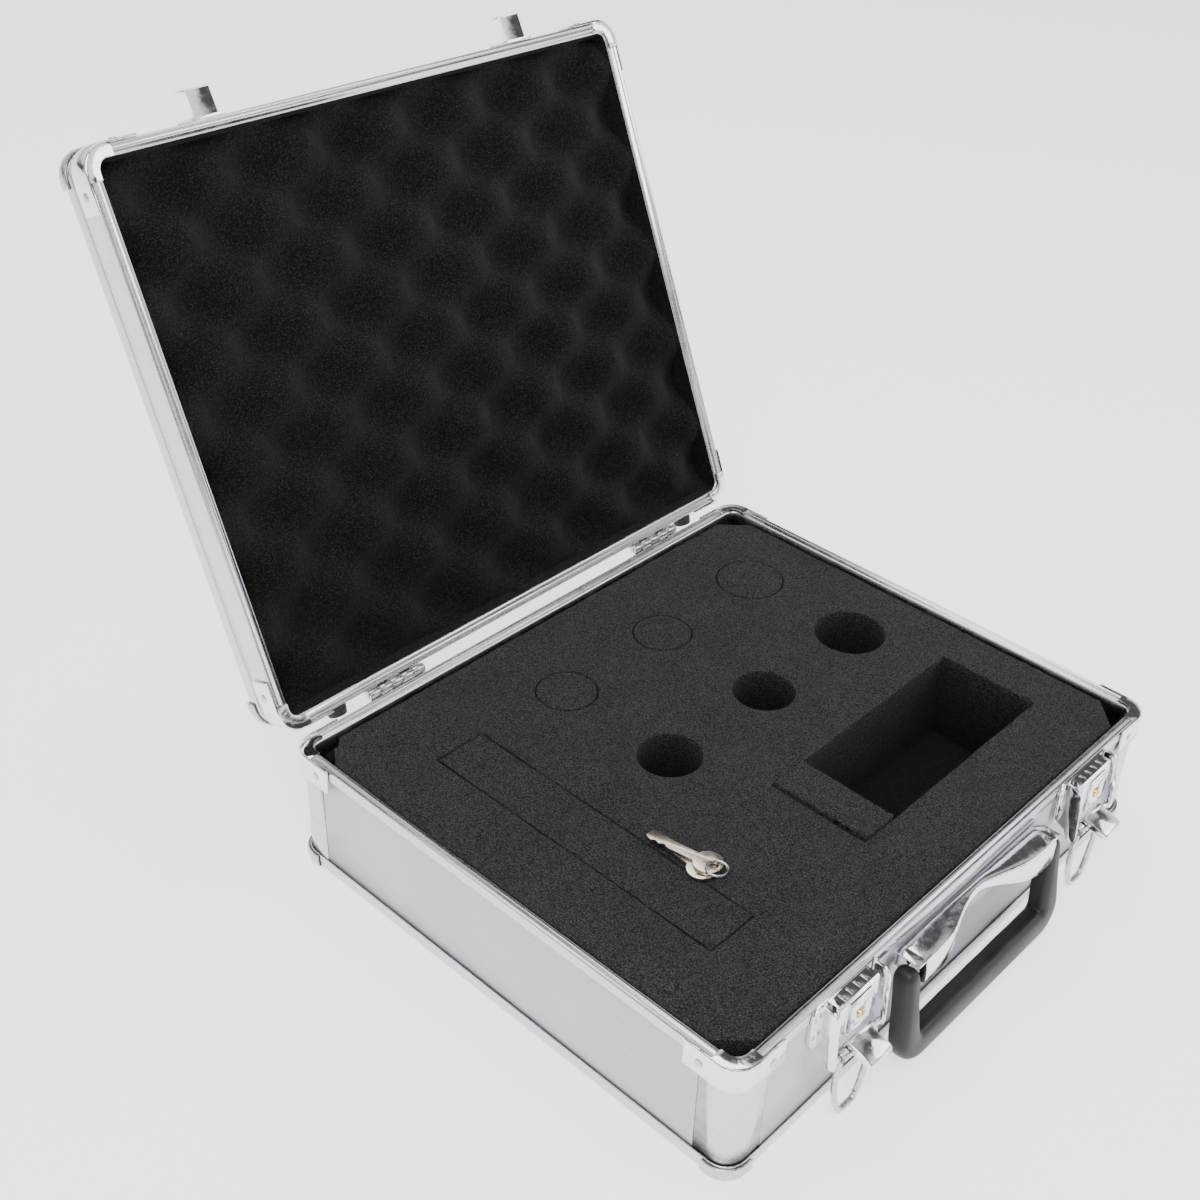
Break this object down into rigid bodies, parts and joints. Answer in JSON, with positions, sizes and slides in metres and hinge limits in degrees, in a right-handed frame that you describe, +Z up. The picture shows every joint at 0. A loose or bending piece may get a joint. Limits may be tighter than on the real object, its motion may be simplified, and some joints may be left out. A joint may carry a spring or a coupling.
{
  "type": "telescope carry case",
  "caption": "Shallow aluminium-edged carry case with foam wells for telescope accessories, a hinged lid, keyed draw latches and a folding handle.",
  "frame": {"origin": "centre of the base footprint, on the surface the case stands on", "axes": "+Z up; -Y towards the handle and latches; hinges on the +Y side; +X to the right seen from the front"},
  "size_m": [0.3174, 0.4254, 0.3302],
  "materials": {
    "panel": "silver laminate over fibreboard",
    "aluminium": "satin extruded section",
    "chrome": "bright plated pressing",
    "steel": "plated sheet and wire",
    "brass": "polished lock plug",
    "foam": "open-cell foam",
    "lid_foam": "egg-crate open-cell foam",
    "plastic": "moulded, fine grain",
    "rubber": "moulded foot",
    "nickel": "nickel plated key blank"
  },
  "bodies": {
    "case": {"base_floor_panel": "panel", "base_wall_front": "panel", "base_wall_rear": "panel", "base_wall_left": "panel", "base_wall_right": "panel", "base_post_front_left": "aluminium", "base_post_front_right": "aluminium", "base_post_rear_left": "aluminium", "base_post_rear_right": "aluminium", "base_rim_frame": "aluminium", "base_bottom_trim": "aluminium", "base_bottom_cap_front_left": "steel", "base_bottom_cap_front_right": "steel", "base_bottom_cap_rear_left": "steel", "base_bottom_cap_rear_right": "steel", "base_rim_cap_front_left": "chrome", "base_rim_cap_front_right": "chrome", "base_rim_cap_rear_left": "chrome", "base_rim_cap_rear_right": "chrome", "foam_block": "foam", "foam_plug_left": "foam", "foam_plug_middle": "foam", "foam_plug_right": "foam", "foam_plug_strip": "foam", "foam_pocket_block": "foam", "hinge_base_leaf_left": "steel", "hinge_base_leaf_right": "steel", "handle_bracket": "chrome", "latch_body_left": "chrome", "latch_body_right": "chrome", "base_foot_left": "rubber", "base_foot_right": "rubber", "key_lower": "nickel", "key_upper": "nickel", "key_ring": "steel"},
    "lid": {"lid_side_frame": "aluminium", "lid_edge_trim": "aluminium", "lid_top_panel": "panel", "lid_back_cap_front_left": "steel", "lid_back_cap_front_right": "steel", "lid_back_cap_rear_left": "steel", "lid_back_cap_rear_right": "steel", "lid_rim_cap_front_left": "chrome", "lid_rim_cap_front_right": "chrome", "lid_rim_cap_rear_left": "chrome", "lid_rim_cap_rear_right": "chrome", "lid_foam": "lid_foam", "lid_strike_left": "chrome", "lid_strike_right": "chrome", "hinge_lid_leaf_left": "steel", "hinge_lid_leaf_right": "steel", "lid_foot_left": "rubber", "lid_foot_right": "rubber"},
    "handle": {"handle_grip": "plastic"},
    "lever_left": {"latch_lever_left": "chrome"},
    "wire_left": {"latch_loop_left": "steel"},
    "lock_left": {"latch_lock_left": "brass"},
    "lever_right": {"latch_lever_right": "chrome"},
    "wire_right": {"latch_loop_right": "steel"},
    "lock_right": {"latch_lock_right": "brass"}
  },
  "joints": [
    {"name": "lid_hinge", "type": "hinge", "parent": "case", "child": "lid", "pos_m": [0, 0.1373, 0.069], "axis": [1, 0, 0], "range_deg": [0, 113]},
    {"name": "handle_pivot", "type": "hinge", "parent": "case", "child": "handle", "pos_m": [0, -0.1425, 0.05], "axis": [-1, 0, 0], "range_deg": [0, 88]},
    {"name": "lever_pivot_left", "type": "hinge", "parent": "case", "child": "lever_left", "pos_m": [-0.093, -0.1445, 0.0415], "axis": [1, 0, 0], "range_deg": [0, 80]},
    {"name": "lever_pivot_right", "type": "hinge", "parent": "case", "child": "lever_right", "pos_m": [0.093, -0.1445, 0.0415], "axis": [1, 0, 0], "range_deg": [0, 80]},
    {"name": "wire_swing_left", "type": "hinge", "parent": "case", "child": "wire_left", "pos_m": [-0.093, -0.1445, 0.0415], "axis": [-1, 0, 0], "range_deg": [-10, 177.8]},
    {"name": "wire_swing_right", "type": "hinge", "parent": "case", "child": "wire_right", "pos_m": [0.093, -0.1445, 0.0415], "axis": [-1, 0, 0], "range_deg": [-10, 177.8]},
    {"name": "lock_turn_left", "type": "hinge", "parent": "case", "child": "lock_left", "pos_m": [-0.093, -0.135, 0.059], "axis": [0, -1, 0], "range_deg": [0, 90]},
    {"name": "lock_turn_right", "type": "hinge", "parent": "case", "child": "lock_right", "pos_m": [0.093, -0.135, 0.059], "axis": [0, -1, 0], "range_deg": [0, 90]}
  ]
}
